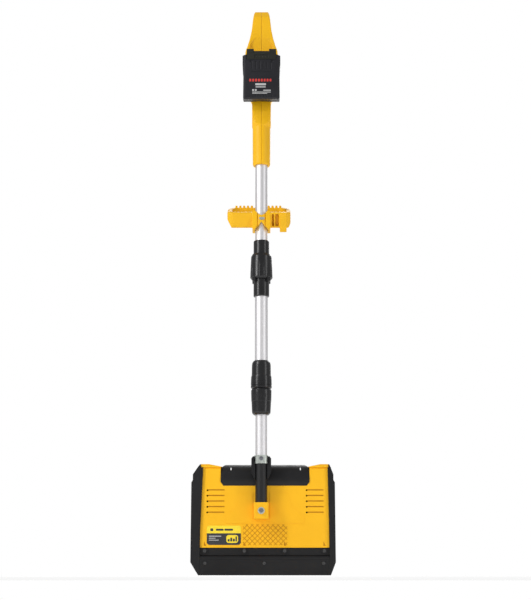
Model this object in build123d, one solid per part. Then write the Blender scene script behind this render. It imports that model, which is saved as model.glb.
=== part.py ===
from build123d import *
import math
import os

# Cordless powered snow shovel: a paddle-rotor head under a telescopic pole, with a slide-on
# battery, a trigger loop and a clamp-on second handle.  Millimetres, +Z up along the pole.
# The operator stands on the -Y side and the rotor throws towards +Y.
# The sub-parts are drawn in a frame whose Y = 0 is the pole's axis; save() moves them so that
# the origin lies under the middle of the whole object.

# ---------------------------------------------------------------- driving dimensions
HEAD_HALF = 153.5        # half the head's overall width
LEFT_IN = -134.0         # inner face of the left side plate
RIGHT_IN = 140.5         # inner face of the right side plate
HEAD_TOP = 233.0         # height of the side covers
COVER_REAR = 13.5        # rear edge of the side covers
SHELL_REAR = 18.0        # rear face of the yellow shell
SHELL_LOW = 57.2         # lower edge of the yellow shell
SHELL_DECK = 228.3       # top deck beside the motor cover
PLATE = 3.0              # side plates
HUB = 7.0                # depth of their bearing hubs
SKIN = 3.0               # wall of the covers and shells
GAP = 0.3                # running gap between bodies
FIT = 0.05               # radial play of a shaft in its bore

ROTOR_Y, ROTOR_Z = 106.0, 86.0
ROTOR_R = 72.0
CHAMBER_R = 77.0         # inner radius of the chamber behind the rotor
GUARD_R = 84.0           # front rounding of the side covers
ROTOR_SHAFT_R = 6.0
ROTOR_X = (-129.0, 135.5)
PADDLES = 4
WALL_T = 3.0             # chamber wall
STRIP_SCREW_X = (-123.5, -39.8, 45.8, 129.5)
STRIP_SCREW_Z = 50.6
SCRAPER_SCREW_X = (-123.0, 2.3, 128.0)
SCRAPER_SCREW_Z = 25.0
MOTOR_COVER_X = (-90.9, 99.2)
MOTOR_COVER_R = 34.0
MOTOR_COVER_LOW = 187.4
MOTOR_Y, MOTOR_Z = 50.0, 200.0
MOTOR_R = 22.0
MOTOR_SHAFT_R = 4.0
DRIVE_X = (-146.8, -141.4)   # pulleys, in the left cover
ROTOR_TEETH, MOTOR_TEETH = 64, 16
BELT_PITCH = 4.0

POLE_X = -4.0            # the pole stands a little left of the head's middle
LOWER_R = 12.42          # lower tube, outside
LOWER_BORE = 11.2
MIDDLE_R = 14.0
MIDDLE_BORE = 12.5
UPPER_R = 13.7
UPPER_BORE = 12.4
STUB_R = 12.6
BOSS_LOW, BOSS_HIGH = 116.3, 150.2
BOSS_BOLT_Z = 133.0
CLIP_LOW, CLIP_HIGH = 232.0, 249.6
CLIP_WALL = 2.3
LOCK_LOW, LOCK_SPLIT, LOCK_HIGH = 336.5, 392.8, 454.2
COUPLER_LOW, NUT_LOW, NUT_HIGH, COUPLER_HIGH = 597.5, 630.5, 694.0, 724.0
AUX_Z = 775.0            # middle of the second handle's clamp
AUX_TILT = 23.0          # its loop rises away from the operator
AUX_TALL = 35.0          # height of the loop's walls
AUX_LEFT, AUX_RIGHT, AUX_FAR = -76.0, 65.0, 98.0
AUX_SLOT = 9.5           # half the opening between the clamp's flanges

HANDLE_LOW = 900.0
SLEEVE_TOP = 1000.0
HANDLE_TOP = 1281.0
HANDLE_WALL = 2.6
RAIL_Y = -24.0           # plane where the battery meets the handle
HANDLE_SCREWS = ((-8, 1066), (12, 1132), (8, 1268), (84, 1262), (78, 1166))
TRIGGER_PIVOT = (74.0, 1226.0)
BATTERY_REAR = -84.0
BATTERY_SPLIT = -46.0    # joint plane of its two halves
BATTERY_LOW, BATTERY_HIGH = 1028.0, 1138.0
BATTERY_RISE = 17.0      # its underside slopes up towards the handle
BATTERY_WALL = 2.6
LATCH_SPRING_X = (-25, 25)
RAIL_LOW = 1049.0
CELL_R = 9.0
LEAD_R = 2.6

DEPTH_MIDDLE = (BATTERY_REAR + ROTOR_Y + GUARD_R) / 2


# ---------------------------------------------------------------- drawing helpers
def block(x0, x1, y0, y1, z0, z1):
    """Box between two corners."""
    return Pos((x0 + x1) / 2, (y0 + y1) / 2, (z0 + z1) / 2) * Box(x1 - x0, y1 - y0, z1 - z0)


def rod_x(y, z, x0, x1, r):
    return Pos((x0 + x1) / 2, y, z) * Rot(0, 90, 0) * Cylinder(r, x1 - x0)


def rod_y(x, z, y0, y1, r):
    return Pos(x, (y0 + y1) / 2, z) * Rot(90, 0, 0) * Cylinder(r, y1 - y0)


def rod_z(z0, z1, r, x=0.0, y=0.0):
    return Pos(x, y, (z0 + z1) / 2) * Cylinder(r, z1 - z0)


def tube_z(z0, z1, r_out, r_in):
    return rod_z(z0, z1, r_out) - rod_z(z0, z1, r_in)


def tube_x(y, z, x0, x1, r_out, r_in):
    return rod_x(y, z, x0, x1, r_out) - rod_x(y, z, x0, x1, r_in)


def polygon(points):
    return make_face(Polyline(*points, close=True))


def prism_x(face, x0, x1):
    """A face drawn in (Y, Z), carried from x0 to x1."""
    return extrude(Plane.YZ.offset(x0) * face, x1 - x0, dir=(1, 0, 0))


def prism_y(face, y0, y1):
    """A face drawn in (X, Z), carried from y0 to y1."""
    return extrude(Plane((0, y0, 0), x_dir=(1, 0, 0), z_dir=(0, -1, 0)) * face, y1 - y0, dir=(0, 1, 0))


def turned(points):
    """A profile of (radius, height) points turned round the pole's axis."""
    return revolve(Plane.XZ * polygon(points), Axis.Z)


def on_pole(shape):
    return Pos(POLE_X, 0, 0) * shape


def round_y(points, radius):
    """A polygon in (Y, Z) or (X, Z) with every corner rounded."""
    return make_face(FilletPolyline(*points, radius=radius, close=True))


def group(shapes):
    """Several separate solids that share one node."""
    return Compound([solid for shape in shapes for solid in shape.solids()])


def screw_y(x, z, y_seat, length, r_head=3.6, r_shank=1.9, height=2.2):
    """Pan-head screw whose head stands towards -Y, with a cross recess."""
    screw = rod_y(x, z, y_seat - height, y_seat, r_head) + rod_y(x, z, y_seat, y_seat + length, r_shank)
    slot = r_head * 0.55
    recess = block(x - slot, x + slot, y_seat - height, y_seat - height / 2, z - 0.45, z + 0.45)
    recess += block(x - 0.45, x + 0.45, y_seat - height, y_seat - height / 2, z - slot, z + slot)
    return screw - recess


def screw_x(y, z, x_seat, side, length, r_head=3.4, r_shank=1.7, height=2.0):
    """Pan-head screw along X; side is the way its head stands."""
    x_head, x_tip = x_seat + side * height, x_seat - side * length
    screw = rod_x(y, z, min(x_seat, x_head), max(x_seat, x_head), r_head)
    screw += rod_x(y, z, min(x_seat, x_tip), max(x_seat, x_tip), r_shank)
    half = x_seat + side * height / 2
    return screw - block(min(half, x_head), max(half, x_head), y - 1.9, y + 1.9, z - 0.45, z + 0.45)


# ---------------------------------------------------------------- side covers and plates
def guard_face(inset):
    """Side view of the head: upright back, sloped front, rounded nose round the rotor."""
    r = GUARD_R - inset
    rear, top, low = COVER_REAR + inset, HEAD_TOP - inset, inset
    slope = math.radians(40)
    touch_y, touch_z = ROTOR_Y + r * math.cos(slope), ROTOR_Z + r * math.sin(slope)
    crest_y = touch_y - (top - touch_z) * math.tan(slope)
    heel = math.radians(-50)
    outline = polygon([
        (rear, low + 10), (rear, top - 6), (rear + 6, top), (crest_y, top), (touch_y, touch_z),
        (ROTOR_Y + r * math.cos(heel), ROTOR_Z + r * math.sin(heel)), (ROTOR_Y + 25, low), (rear + 5, low),
    ])
    return outline + Pos(ROTOR_Y, ROTOR_Z) * Circle(r)


def cover_section(side, inset):
    """Rear view of one side cover, with its bevels and the small step near the top."""
    x_in = LEFT_IN if side < 0 else RIGHT_IN
    outer = HEAD_HALF - inset
    foot, shoulder = (137.0, 135.6) if side < 0 else (143.0, 142.1)
    return polygon([
        (x_in, inset), (side * (foot - inset / 3), inset), (side * outer, 27), (side * outer, 194),
        (side * (outer - 3), 199), (side * (outer - 3), 211),
        (side * (shoulder - inset / 3), HEAD_TOP - inset),
        (x_in, HEAD_TOP - inset),
    ])


def guard_solid(side, inset, thick=None):
    """The side cover's outline as a solid, or only its inner slice of the given thickness."""
    x_in = LEFT_IN if side < 0 else RIGHT_IN
    x_out = side * HEAD_HALF if thick is None else x_in + side * thick
    whole = prism_x(guard_face(inset), min(x_in, x_out), max(x_in, x_out))
    return whole & prism_y(cover_section(side, inset), 0, 220)


def side_cover(side):
    x_in = LEFT_IN if side < 0 else RIGHT_IN
    cover = guard_solid(side, 0) - guard_solid(side, SKIN)
    tops = (-128.5, -135.0, -138.0) if side < 0 else (138.2, 140.8, 143.0)
    lip = polygon([
        (tops[0], 226), (tops[1], SHELL_LOW - 2), (tops[2], 24), (x_in + side * 5, 24),
        (x_in + side * 5, 226)])
    cover += prism_y(lip, COVER_REAR, COVER_REAR + SKIN)
    hub = (HEAD_HALF - 8.5) * side
    ring_x = sorted((hub + side * 8.4, hub + side * 6.2))
    cover -= tube_x(ROTOR_Y, ROTOR_Z, ring_x[0], ring_x[1] + 0.2, 30, 27.5)
    for y, z in cover_screw_places():
        cover -= rod_x(y, z, -HEAD_HALF - 1, HEAD_HALF + 1, 1.8)
        seat = side * (HEAD_HALF - 1.2)
        cover -= rod_x(y, z, min(seat, side * 160), max(seat, side * 160), 4.2)
    return cover


def cover_screw_places():
    return [(34, 30), (30, 180), (150, 40), (150, 130)]


def side_plate(side):
    """Plate that carries the rotor bearing, with standoffs for the cover's screws."""
    x_in = LEFT_IN if side < 0 else RIGHT_IN
    plate = guard_solid(side, SKIN + 0.2, PLATE)
    hub = sorted((x_in, x_in + side * HUB))
    plate += rod_x(ROTOR_Y, ROTOR_Z, hub[0], hub[1], 19)
    plate -= rod_x(ROTOR_Y, ROTOR_Z, hub[0] - 1, hub[1] + 1, 14)
    seat = sorted((x_in + side * PLATE, side * (HEAD_HALF - SKIN)))
    for y, z in cover_screw_places():
        plate += rod_x(y, z, seat[0], seat[1], 4.5)
        plate -= rod_x(y, z, seat[0] - 6, seat[1] + 6, 1.72)
    if side < 0:
        plate += rod_x(MOTOR_Y, MOTOR_Z, x_in - HUB, x_in, 14)
        plate -= rod_x(MOTOR_Y, MOTOR_Z, x_in - HUB - 1, x_in + 1, 11)
    return plate


def cover_screws():
    """Four screws through each side cover into its plate's standoffs."""
    seat = HEAD_HALF - 1.2
    return group([
        screw_x(y, z, side * seat, side, 9, height=1.1) for side in (-1, 1) for y, z in cover_screw_places()])


# ---------------------------------------------------------------- chamber, shell and scraper
def chamber_wall():
    """Curved wall behind the rotor, with the flange that the shell and scraper screw to."""
    ring = Pos(ROTOR_Y, ROTOR_Z) * (Circle(CHAMBER_R + WALL_T) - Circle(CHAMBER_R))
    kept = [(ROTOR_Y, ROTOR_Z)]
    for degrees in range(58, 229, 17):
        a = math.radians(degrees)
        kept.append((ROTOR_Y + 120 * math.cos(a), ROTOR_Z + 120 * math.sin(a)))
    wall = ring & polygon(kept)
    flange = polygon([(22, 24), (26, 24), (26, 62), (22, 62)])
    web = polygon([(24, 36), (24, 33), (46, 33), (46, 36)])
    lip = polygon([(140, 157), (143, 151.5), (153, 151.5), (153, 154.5), (144.5, 154.5)])
    section = wall + flange + web + lip
    body = prism_x(section, LEFT_IN + 0.2, RIGHT_IN - 0.2)
    body += block(LEFT_IN + 0.2, RIGHT_IN - 0.2, SHELL_REAR + 1, 22.5, 42, SHELL_LOW - 0.2)
    for x in STRIP_SCREW_X:
        boss = rod_y(x, STRIP_SCREW_Z, SHELL_REAR - 1.5, 23, 6.2)
        body += boss & block(x - 9, x + 9, 10, 30, 42, SHELL_LOW - 0.2)
        body -= rod_y(x, STRIP_SCREW_Z, 0, 40, 1.92)
    for x in SCRAPER_SCREW_X:
        body -= rod_y(x, SCRAPER_SCREW_Z, 0, 32, 1.92)
    return body


def motor_window(grow):
    """Octagonal outline of the motor cover in the rear view."""
    x0, x1 = MOTOR_COVER_X[0] - grow, MOTOR_COVER_X[1] + grow
    low, high = MOTOR_COVER_LOW - grow, 240
    return polygon([
        (x0, low + 8), (x0, 226), (x0 + 12, 236), (x0 + 12, high), (x1 - 12, high), (x1 - 12, 236),
        (x1, 226), (x1, low + 8), (x1 - 6, low), (x0 + 6, low),
    ])


def shell_outline():
    """Side view of the shell: back, deck and the slope down to the chamber's front lip."""
    return polygon([
        (SHELL_REAR, SHELL_LOW), (SHELL_REAR, SHELL_DECK - 5), (SHELL_REAR + 5, SHELL_DECK), (84, SHELL_DECK),
        (146, 157.5), (140, 152), (140, SHELL_LOW)])


def shell_hollow():
    """Side view of the space inside the shell, open downwards."""
    back, deck = SHELL_REAR + SKIN, SHELL_DECK - SKIN
    return polygon([(back, 40), (back, deck - 4), (back + 4, deck), (82.5, deck), (144, 155), (144, 40)])


def shell_ridge(side):
    """Raised end of the deck beside a side cover, falling towards the motor cover."""
    x_out, x_in = (LEFT_IN + 0.4, -91) if side < 0 else (RIGHT_IN - 0.4, 99)
    face = polygon([
        (x_out, 226), (x_out, 233.6), (x_out - side * 17, 233.6), (x_in, SHELL_DECK), (x_in, 226)])
    front = polygon([(SHELL_REAR, 220), (SHELL_REAR, 229), (SHELL_REAR + 5, 233.8), (80, 233.8), (88, 220)])
    return prism_y(face, SHELL_REAR, 88) & prism_x(front, min(x_in, x_out), max(x_in, x_out))


def rear_shell():
    x0, x1 = LEFT_IN + 0.4, RIGHT_IN - 0.4
    shell = prism_x(shell_outline(), x0, x1) - prism_x(shell_hollow(), x0 + SKIN, x1 - SKIN)
    shell += shell_ridge(-1) + shell_ridge(1)
    shell -= rod_x(ROTOR_Y, ROTOR_Z, x0 - 1, x1 + 1, CHAMBER_R + WALL_T + 0.2)
    shell -= block(x0 - 1, x1 + 1, 100, 200, 40, 152)
    shell -= block(x0 - 1, x1 + 1, SHELL_REAR + SKIN + 0.4, 110, 40, 66)
    shell -= prism_y(motor_window(0.3), 10, 86)
    shell += boss_on_shell()
    shell -= louvres()
    shell -= lattice_grooves()
    shell -= rod_y(POLE_X, 165, 10, 30, 4.6) + rod_y(POLE_X, BOSS_BOLT_Z, 10, 30, 3.1)
    shell -= rod_x(MOTOR_Y, MOTOR_Z, x0 - 1, x0 + 5, MOTOR_SHAFT_R + 1)
    for x in STRIP_SCREW_X:
        gusset = polygon([(x - 1.6, SHELL_LOW + 4), (x + 3.2, SHELL_LOW + 4), (x - 1.6, SHELL_LOW + 13)])
        shell -= prism_y(gusset, SHELL_REAR - 1, SHELL_REAR + 1.6)
    lip = polygon([
        (SHELL_REAR - 1.4, SHELL_LOW), (SHELL_REAR + 1, SHELL_LOW), (SHELL_REAR + 1, SHELL_LOW + 3.4),
        (SHELL_REAR, SHELL_LOW + 3.4)])
    shell += prism_x(lip, x0 + 3.5, x1 - 3.5)
    shell += prism_y(raised_panel(), SHELL_REAR - 0.9, SHELL_REAR + 0.5)
    return shell


def raised_panel():
    """Faintly raised field on both sides of the pole's foot."""
    inner = POLE_X - 18, POLE_X + 18
    left = polygon([(-79, 108), (-79, 122), (-57, 143.5), (-47, 171.5), (inner[0], 171.5), (inner[0], 108)])
    right = polygon([(inner[1], 108), (inner[1], 171.5), (53, 171.5), (61.5, 143.5), (87, 122), (87, 108)])
    return left + right


def boss_on_shell():
    """Socket that takes the pole's foot."""
    outer = block(POLE_X - 15.7, POLE_X + 15.7, -15.7, SHELL_REAR + 1, BOSS_LOW, BOSS_HIGH)
    outer = chamfer(outer.edges().filter_by(Axis.Z).group_by(Axis.Y)[0], 2.0)
    boss = outer - on_pole(rod_z(BOSS_LOW + 4, BOSS_HIGH + 1, STUB_R + 0.1))
    return boss - rod_y(POLE_X, BOSS_BOLT_Z, -20, 30, 3.1)


def louvres():
    """Five slots each side, each ending in a deeper hole."""
    cuts = Part()
    for x0, x1 in ((-120.5, -82.5), (91.5, 129.0)):
        for i in range(5):
            z = 178.3 - 11.75 * i
            cuts += block(x0, x1, SHELL_REAR - 1, SHELL_REAR + 2.0, z - 1.2, z + 1.2)
            cuts += rod_y(x0 + 1.5, z - 0.6, SHELL_REAR - 1, SHELL_REAR + SKIN + 1, 1.9)
    return cuts


def lattice_grooves():
    """Crossed slanting grooves near the lower edge."""
    x0, x1, z0, z1 = -42.5, 51.5, 62.4, 106.0
    pitch, length = 11.0, z1 - z0
    lines = Sketch()
    for i in range(-4, 10):
        for lean in (-1, 1):
            x = (x0 + pitch * i if lean > 0 else x1 - pitch * i) + lean * length / 2
            lines += Pos(x, (z0 + z1) / 2) * Rot(0, 0, -45 * lean) * Rectangle(1.3, length * 1.5)
    lines = lines & Pos((x0 + x1) / 2, (z0 + z1) / 2) * Rectangle(x1 - x0, z1 - z0)
    return prism_y(lines, SHELL_REAR - 1, SHELL_REAR + 1.0)


def motor_cover():
    """Half-round cover over the motor, with octagonal ends and two small slots."""
    r_out, r_in = MOTOR_COVER_R, MOTOR_COVER_R - SKIN
    def sector(r, front):
        return Pos(MOTOR_Y, MOTOR_Z) * Circle(r) + polygon(
            [(MOTOR_Y, MOTOR_Z), (MOTOR_Y, MOTOR_Z + r), (front, MOTOR_Z + r), (front, MOTOR_Z)])
    section = sector(r_out, 85.0) - sector(r_in, 86.0)
    section = section & polygon([
        (0, MOTOR_COVER_LOW), (0, 240), (85, 240), (85, 226), (48, 200), (48, MOTOR_COVER_LOW)])
    cover = prism_x(section, *MOTOR_COVER_X)
    for x in (MOTOR_COVER_X[0], MOTOR_COVER_X[1] - 2.5):
        end = sector(r_out - 0.5, 84.5) & polygon([
            (0, MOTOR_COVER_LOW), (0, 240), (84.5, 240), (84.5, 218), (60, MOTOR_COVER_LOW)])
        cover += prism_x(end, x, x + 2.5)
    cover = cover & prism_y(motor_window(0), 0, 90)
    for x in (-69.2, 80.1):
        cover -= block(x - 1, x + 1, 8, 60, 220, 227)
    return cover - rod_x(MOTOR_Y, MOTOR_Z, -95, -80, MOTOR_SHAFT_R + 1)


def scraper_bar():
    """Replaceable wear bar along the lower rear edge, with a rounded upper band."""
    x0, x1 = LEFT_IN + 0.3, RIGHT_IN - 0.3
    section = polygon([
        (14.5, 1.5), (16, 0), (22, 0), (22, 41), (18, 41), (15.4, 39), (14.5, 36), (14.5, 33), (13.6, 31),
        (13.6, 2)])
    bar = prism_x(section, x0, x1)
    for x in SCRAPER_SCREW_X:
        bar -= rod_y(x, SCRAPER_SCREW_Z, 10, 17.5, 4.4)
        bar -= rod_y(x, SCRAPER_SCREW_Z, 10, 23, 1.95)
    return bar


def rear_screws():
    """Four screws along the strip and three that hold the scraper bar."""
    places = [(x, STRIP_SCREW_Z, SHELL_REAR - 1.5) for x in STRIP_SCREW_X]
    places += [(x, SCRAPER_SCREW_Z, 17.5) for x in SCRAPER_SCREW_X]
    return group([screw_y(x, z, seat, 8) for x, z, seat in places])


# ---------------------------------------------------------------- rotor and drive
def rotor_shaft():
    return rod_x(ROTOR_Y, ROTOR_Z, -148.5, 148.5, ROTOR_SHAFT_R)


def rotor_core():
    """Plastic drum with an end disc each side and four ribs that back the paddles."""
    x0, x1 = ROTOR_X
    core = rod_x(ROTOR_Y, ROTOR_Z, x0, x1, 16)
    for x in (x0, x1 - 3):
        core += rod_x(ROTOR_Y, ROTOR_Z, x, x + 3, 44)
    for i in range(PADDLES):
        core += turned_in_rotor(block(x0, x1, 10, 46, -3.6, 0), i)
    return core - rod_x(ROTOR_Y, ROTOR_Z, x0 - 1, x1 + 1, ROTOR_SHAFT_R)


def turned_in_rotor(shape, i):
    """Places a shape drawn about the rotor's axis at the i-th paddle."""
    return Pos(0, ROTOR_Y, ROTOR_Z) * Rot(360 / PADDLES * i + 20, 0, 0) * shape


def rotor_paddles():
    """Four bowed rubber blades."""
    front = ThreePointArc((20, 0.1), (48, 9.5), (ROTOR_R, 2))
    back = ThreePointArc((ROTOR_R, 6.5), (47, 14.5), (20, 5.2))
    blade_face = make_face([front, Line(front @ 1, back @ 0), back, Line(back @ 1, front @ 0)])
    blade = prism_x(blade_face, ROTOR_X[0] + 3.2, ROTOR_X[1] - 3.2)
    blade += block(ROTOR_X[0] + 3.2, ROTOR_X[1] - 3.2, 20, 45, 0.05, 5)
    return group([turned_in_rotor(blade, i) for i in range(PADDLES)])


def rotor_bearings():
    """One sealed bearing in each side plate."""
    bore = ROTOR_SHAFT_R + FIT
    return group([
        tube_x(ROTOR_Y, ROTOR_Z, LEFT_IN - HUB, LEFT_IN - 0.2, 14, bore),
        tube_x(ROTOR_Y, ROTOR_Z, RIGHT_IN + 0.2, RIGHT_IN + HUB, 14, bore)])


def pulley_radius(teeth):
    return teeth * BELT_PITCH / (2 * math.pi)


def rotor_pulley():
    r = pulley_radius(ROTOR_TEETH)
    pulley = tube_x(ROTOR_Y, ROTOR_Z, *DRIVE_X, r - 1.2, ROTOR_SHAFT_R)
    for i in range(5):
        a = 2 * math.pi * i / 5
        pulley -= rod_x(ROTOR_Y + 24 * math.cos(a), ROTOR_Z + 24 * math.sin(a), *DRIVE_X, 7)
    return pulley


def motor_pulley():
    r = pulley_radius(MOTOR_TEETH)
    return tube_x(MOTOR_Y, MOTOR_Z, *DRIVE_X, r - 1.2, MOTOR_SHAFT_R)


def drive_belt():
    """Closed belt round both pulleys, a flat band of even thickness."""
    def loop_face(grow):
        big, small = pulley_radius(ROTOR_TEETH) + grow, pulley_radius(MOTOR_TEETH) + grow
        dy, dz = MOTOR_Y - ROTOR_Y, MOTOR_Z - ROTOR_Z
        span = math.hypot(dy, dz)
        along = math.atan2(dz, dy)
        fan = math.acos((big - small) / span)
        def at(cy, cz, r, a):
            return (cy + r * math.cos(a), cz + r * math.sin(a))
        hull = polygon([
            at(ROTOR_Y, ROTOR_Z, big, along + fan), at(MOTOR_Y, MOTOR_Z, small, along + fan),
            at(MOTOR_Y, MOTOR_Z, small, along - fan), at(ROTOR_Y, ROTOR_Z, big, along - fan)])
        return hull + Pos(ROTOR_Y, ROTOR_Z) * Circle(big) + Pos(MOTOR_Y, MOTOR_Z) * Circle(small)
    return prism_x(loop_face(0.8) - loop_face(-0.8), DRIVE_X[0] + 0.2, DRIVE_X[1] - 0.2)


def motor_can():
    can = rod_x(MOTOR_Y, MOTOR_Z, -80, -8, MOTOR_R) + rod_x(MOTOR_Y, MOTOR_Z, -84, -80, 9)
    can -= rod_x(MOTOR_Y, MOTOR_Z, -76, -12, 12)
    can -= rod_x(MOTOR_Y, MOTOR_Z, -85, 0, MOTOR_SHAFT_R + FIT)
    for i in range(6):
        a = math.pi / 3 * i
        can -= rod_x(MOTOR_Y + 17 * math.cos(a), MOTOR_Z + 17 * math.sin(a), -12, -7, 2.4)
    return can


def motor_shaft():
    """Long output shaft with the armature on it."""
    return rod_x(MOTOR_Y, MOTOR_Z, -147.1, -6, MOTOR_SHAFT_R) + rod_x(MOTOR_Y, MOTOR_Z, -72, -18, 11.4)


def drive_bearing():
    return tube_x(MOTOR_Y, MOTOR_Z, LEFT_IN - HUB, LEFT_IN - 0.2, 11, MOTOR_SHAFT_R + FIT)


def motor_mount():
    """Saddle that carries the motor on top of the chamber wall."""
    mount = Part()
    for x in (-72, -24):
        mount += block(x - 4, x + 4, 36, 74, 140, 196)
    mount -= rod_x(MOTOR_Y, MOTOR_Z, -90, 0, MOTOR_R)
    return mount - rod_x(ROTOR_Y, ROTOR_Z, -90, 0, CHAMBER_R + WALL_T)


def controller_box():
    """Potted speed controller between the motor and the chamber wall."""
    case = block(-14, 50, 26, 60, 158, 174)
    for i in range(6):
        case += block(-12, 48, 29 + 5 * i, 31 + 5 * i, 174, 176.5)
    return case


# ---------------------------------------------------------------- pole foot
def pole_bracket():
    """Saddle with two cheeks that holds the pole against the motor cover."""
    outline = polygon([
        (-14, 199), (14, 199), (21.1, 213), (21.1, 243), (17.5, 247.6), (-17.5, 247.6), (-21.1, 243),
        (-21.1, 213)])
    bracket = prism_y(outline, -7, 15.7)
    top = polygon([(-21.1, 234.6), (21.1, 234.6), (21.1, 243), (17.5, 247.6), (-17.5, 247.6), (-21.1, 243)])
    bracket += prism_y(top, 12, 26)
    bracket -= rod_z(170, 260, STUB_R + 0.05) + block(-STUB_R - 0.05, STUB_R + 0.05, -20, 0, 170, 260)
    clip = STUB_R + CLIP_WALL + 0.2
    bracket -= rod_z(CLIP_LOW - 0.4, 260, clip) + block(-clip, clip, -20, 0, CLIP_LOW - 0.4, 260)
    bracket = on_pole(bracket)
    return bracket - rod_x(MOTOR_Y, MOTOR_Z, -60, 60, MOTOR_COVER_R + 0.05)


def pole_stub():
    """Black tube that stands in the shell's boss and enters the lower tube."""
    stub = tube_z(BOSS_LOW + 4.2, 238, STUB_R, 10.2) + tube_z(236, 282, LOWER_BORE - 0.03, 9.6)
    stub -= rod_y(0, BOSS_BOLT_Z, -20, 20, 3.1)
    stub -= rod_y(0, 165, 0, 20, 4.4)
    stub -= rod_y(0, 242.4, -20, 0, 1.6)
    return on_pole(stub)


def band_clip():
    """Zinc strap round the joint between the stub and the lower tube."""
    clip = tube_z(CLIP_LOW, CLIP_HIGH, STUB_R + CLIP_WALL, STUB_R + 0.1)
    clip += block(-8, 8, -STUB_R - 2.6, -STUB_R - 0.6, CLIP_LOW, CLIP_HIGH)
    clip -= rod_z(CLIP_LOW - 1, CLIP_HIGH + 1, STUB_R + 0.1)
    clip -= rod_y(0, 242.4, -20, 0, 1.95)
    return on_pole(clip)


def clip_screw():
    return screw_y(POLE_X, 242.4, -STUB_R - 2.6, 3.8, r_head=4.4, r_shank=1.55)


def foot_bolt():
    """Hex-head through bolt in the boss."""
    head = Plane.XZ.offset(17.3) * RegularPolygon(5.2, 6)
    bolt = extrude(Pos(0, 0, BOSS_BOLT_Z) * head, 4.0)
    bolt = Pos(POLE_X, 0, 0) * bolt
    return bolt + rod_y(POLE_X, BOSS_BOLT_Z, -17.3, 28, 3.0)


def foot_washer():
    return rod_y(POLE_X, BOSS_BOLT_Z, -17.3, -15.7, 7.3) - rod_y(POLE_X, BOSS_BOLT_Z, -18, -15, 3.05)


# ---------------------------------------------------------------- pole
def lower_tube():
    tube = tube_z(238.2, 505, LOWER_R, LOWER_BORE)
    return on_pole(tube - rod_y(0, 242.4, -20, 0, 1.6))


def middle_tube():
    return on_pole(tube_z(358, 648, MIDDLE_R, MIDDLE_BORE))


def upper_tube():
    return on_pole(tube_z(675, 1052, UPPER_R, UPPER_BORE))


def lock_body():
    """Upper half of the twist lock, fixed to the middle tube; its skirt takes the nut."""
    profile = turned([
        (MIDDLE_R, 358), (16.4, 358), (16.4, LOCK_SPLIT + 0.4), (20.2, LOCK_SPLIT + 0.4), (22.6, 395.4),
        (22.6, 399), (21.9, 399.4), (21.9, 400.6), (22.6, 401), (22.4, 410), (22.0, 419), (21.2, 422),
        (20.8, 422.6), (20.4, 445.5), (19.4, 450.5), (16.6, LOCK_HIGH), (MIDDLE_R, LOCK_HIGH)])
    for i in range(2):
        profile -= tube_z(404 + 4.4 * i, 404.8 + 4.4 * i, 24, 22.1)
    return on_pole(profile)


def lock_nut():
    """Lower half of the twist lock: a tapered ring that squeezes the collet."""
    outer = turned([
        (12.9, LOCK_LOW), (16.2, LOCK_LOW), (19.4, 340.0), (20.0, 343.0), (21.1, 365.4), (21.5, 366.4),
        (22.0, 383.7), (22.0, 389.5), (20.4, LOCK_SPLIT - 0.2), (16.8, LOCK_SPLIT - 0.2), (16.8, 339.5),
        (12.9, 339.5)])
    for i in range(28):
        groove = Rot(0, 0, 360 / 28 * i) * Pos(22.2, 0, 377) * Cylinder(0.7, 9)
        outer -= groove
    return on_pole(outer)


def lock_collet():
    """Split wedge ring between the nut and the lower tube."""
    ring = turned([(12.75, 340), (15.2, 340), (16.3, 351), (16.3, 357.6), (12.75, 357.6)])
    return on_pole(ring - block(0, 20, -0.8, 0.8, 330, 360))


def coupler_spigot():
    """Lower half of the pole joint, fixed to the middle tube."""
    body = turned([
        (MIDDLE_R, COUPLER_LOW), (16.2, COUPLER_LOW), (17.2, COUPLER_LOW + 1.6), (17.2, 636), (15.5, 637),
        (15.5, 671), (14.6, 673), (12.4, 673), (12.4, 648.1), (MIDDLE_R, 648.1)])
    return on_pole(body)


def coupler_socket():
    """Upper half of the pole joint, fixed to the upper tube, with a small key notch."""
    body = turned([
        (15.6, 638), (17.3, 638), (17.3, COUPLER_HIGH - 1.5), (16.6, COUPLER_HIGH), (UPPER_R, COUPLER_HIGH),
        (UPPER_R, 673.5), (15.6, 673.5)])
    return on_pole(body - block(14, 20, -4, -1, 697, 702))


def coupler_nut():
    """Grip ring of the pole joint, widening downwards, with fins and four ears."""
    ring = turned([
        (17.6, NUT_LOW + 6), (21.5, NUT_LOW + 6), (24.6, NUT_LOW + 10), (24.0, 659), (22.9, 684), (22.7, 688),
        (19.4, NUT_HIGH), (17.6, NUT_HIGH)])
    for i in range(16):
        groove = Rot(0, 0, 22.5 * i + 11.25) * Pos(25.6, 0, 655) * Cylinder(2.2, 34)
        ring -= groove
    for i in range(4):
        ring += Rot(0, 0, 90 * i + 45) * block(18.2, 23.8, -4.5, 4.5, NUT_LOW, NUT_LOW + 8)
    return on_pole(ring)


def contact_plug():
    """Round plug in the top of the middle tube."""
    return on_pole(rod_z(642, 660, 12.3) + rod_z(660, 678, 7.4))


def contact_socket():
    return on_pole(rod_z(675.5, 696, 12.3) - rod_z(670, 682, 8.0))


def upper_lead():
    return on_pole(rod_z(696, 1060, 3.0))


def coiled_lead():
    """Outer form of the coiled lead that stretches with the pole, and its tail into the controller."""
    coil = on_pole(rod_z(284, 600, 8.5) + rod_z(600, 642, LEAD_R))
    route = FilletPolyline((POLE_X, 0, 284), (POLE_X, 0, 165), (POLE_X, 26, 165), radius=9)
    return coil + sweep(Plane(route @ 0, z_dir=route % 0) * Circle(LEAD_R), path=route)


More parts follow.
